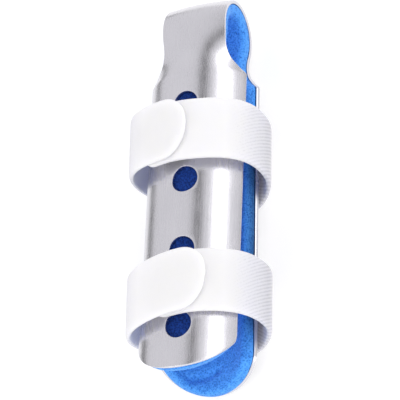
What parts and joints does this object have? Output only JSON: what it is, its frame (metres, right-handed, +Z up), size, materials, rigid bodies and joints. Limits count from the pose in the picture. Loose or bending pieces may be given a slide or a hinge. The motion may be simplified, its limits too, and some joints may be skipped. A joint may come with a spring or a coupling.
{
  "type": "finger splint",
  "caption": "Fold-over fingertip splint: a curled aluminium sheet folded over the tip, foam-lined, closed by hook-and-loop straps.",
  "frame": {"origin": "on the surface the splint lies on, below the middle of its bounding box", "axes": "+Y along the splint from its open end to the fold over the fingertip, +X across it, +Z up through the front leaf"},
  "size_m": [0.0368, 0.0998, 0.029],
  "materials": {
    "metal_sheet": "satin brushed",
    "foam": "fine-pored soft foam",
    "strap_tape": "ribbed loop pile"
  },
  "bodies": {
    "root": {"splint_shell": "metal_sheet", "foam_lining": "foam", "strap_lower": "strap_tape", "strap_upper": "strap_tape"}
  },
  "joints": []
}
